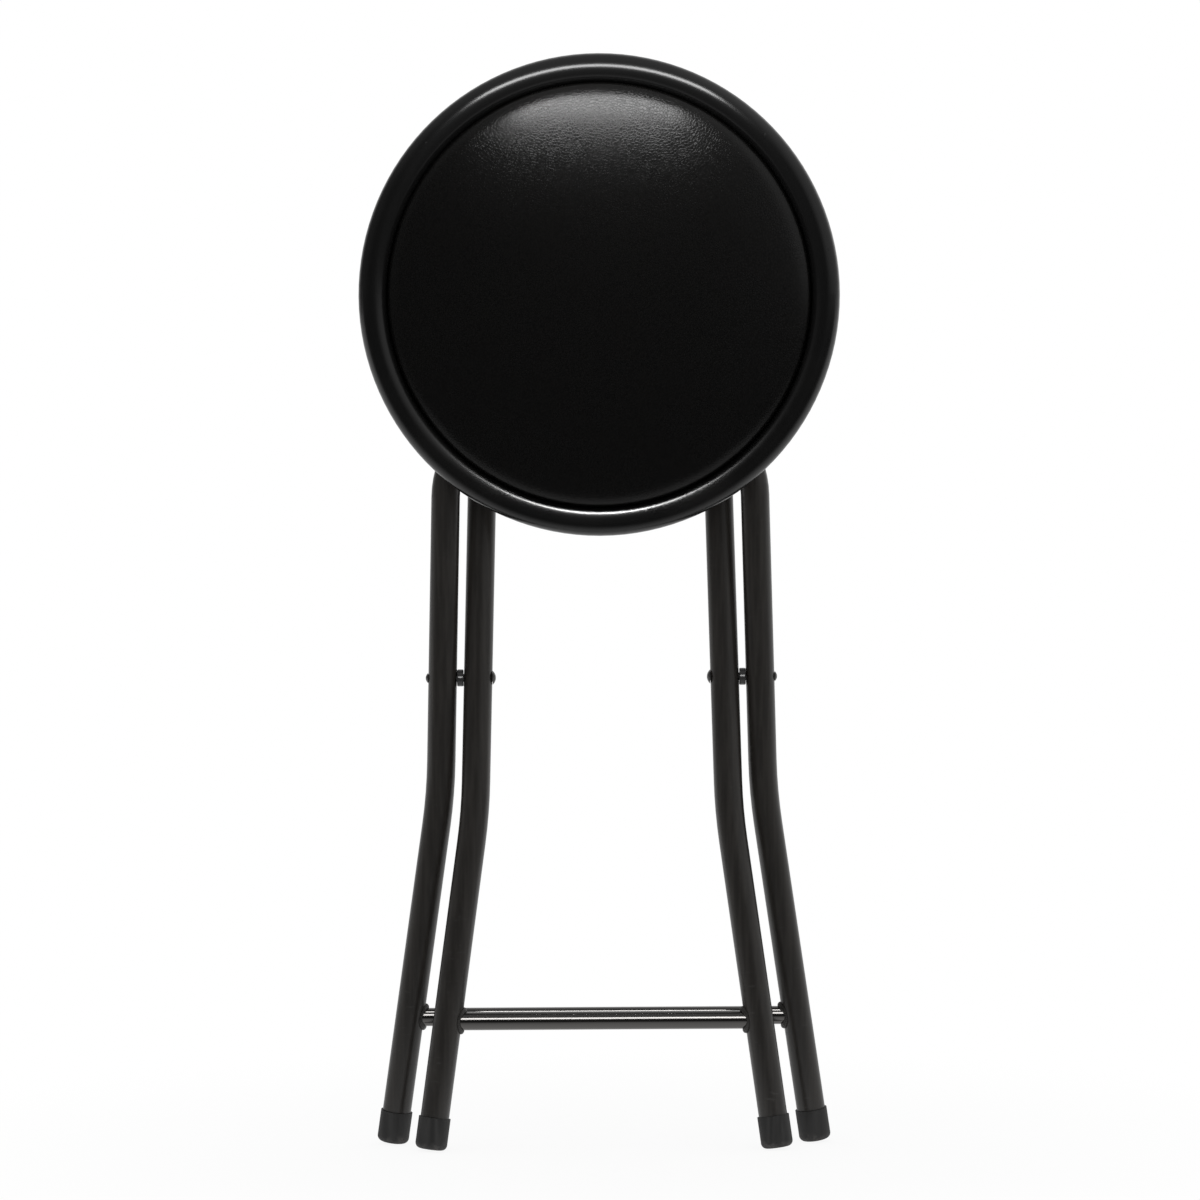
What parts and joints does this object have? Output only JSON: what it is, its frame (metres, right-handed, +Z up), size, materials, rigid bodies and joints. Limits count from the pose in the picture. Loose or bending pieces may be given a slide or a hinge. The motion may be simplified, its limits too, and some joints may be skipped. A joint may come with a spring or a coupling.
{
  "type": "folding stool",
  "caption": "Round padded folding stool, stored folded: a crowned vinyl cushion in a tube ring, hinged on scissor leg frames of bent tube with crossbars and rubber feet.",
  "frame": {"origin": "on the floor under the middle of the folded stool's box", "axes": "+Z up, +X to the right as seen by someone who faces the cushion, +Y away from that person, through the thickness of the folded stool"},
  "size_m": [0.3, 0.078, 0.6841],
  "materials": {
    "black_gloss_enamel": "gloss",
    "black_leg_enamel": "semi-gloss",
    "black_fittings_enamel": "satin",
    "black_rivet_enamel": "satin",
    "black_vinyl": "fine-grained, soft sheen",
    "grey_foam": "open-celled foam",
    "plywood": "sanded, unpainted",
    "zinc_steel": "zinc plated",
    "black_nylon": "moulded, matt",
    "black_rubber": "moulded, matt"
  },
  "bodies": {
    "pivot_pins": {"pivot_rivet_left": "black_rivet_enamel", "pivot_rivet_right": "black_rivet_enamel", "pivot_spacer_left": "black_nylon", "pivot_spacer_right": "black_nylon"},
    "outer_frame": {"outer_leg_tube": "black_leg_enamel", "outer_crossbar": "black_leg_enamel", "outer_crossbar_welds": "black_leg_enamel", "outer_foot_left": "black_rubber", "outer_foot_right": "black_rubber"},
    "inner_frame": {"inner_leg_tube": "black_leg_enamel", "inner_crossbar": "black_leg_enamel", "inner_crossbar_welds": "black_leg_enamel", "inner_foot_left": "black_rubber", "inner_foot_right": "black_rubber"},
    "seat": {"seat_rim": "black_gloss_enamel", "seat_cover": "black_vinyl", "seat_foam": "grey_foam", "seat_board": "plywood", "cover_staples": "zinc_steel", "hinge_strap": "black_fittings_enamel", "catch_strap": "black_fittings_enamel", "board_screws": "zinc_steel", "hinge_bracket_left": "black_fittings_enamel", "hinge_bracket_right": "black_fittings_enamel", "hinge_bush_left": "black_nylon", "hinge_bush_right": "black_nylon", "hinge_bracket_rivets": "zinc_steel", "catch_saddle": "black_fittings_enamel", "catch_rivets": "zinc_steel"}
  },
  "joints": [
    {"name": "outer_swing", "type": "hinge", "parent": "pivot_pins", "child": "outer_frame", "pos_m": [0, 0.01124, 0.29592], "axis": [1, 0, 0], "range_deg": [0, 19.33]},
    {"name": "inner_swing", "type": "hinge", "parent": "pivot_pins", "child": "inner_frame", "pos_m": [0, 0.01124, 0.29592], "axis": [-1, 0, 0], "range_deg": [0, 19.33]},
    {"name": "seat_fold", "type": "hinge", "parent": "outer_frame", "child": "seat", "pos_m": [0, 0.0008, 0.46861], "axis": [-1, 0, 0], "range_deg": [0, 112.79]}
  ],
  "couplings": [
    {"joint": "inner_swing", "follows": "outer_swing", "ratio": 1},
    {"joint": "seat_fold", "follows": "outer_swing", "ratio": 5.8355}
  ]
}
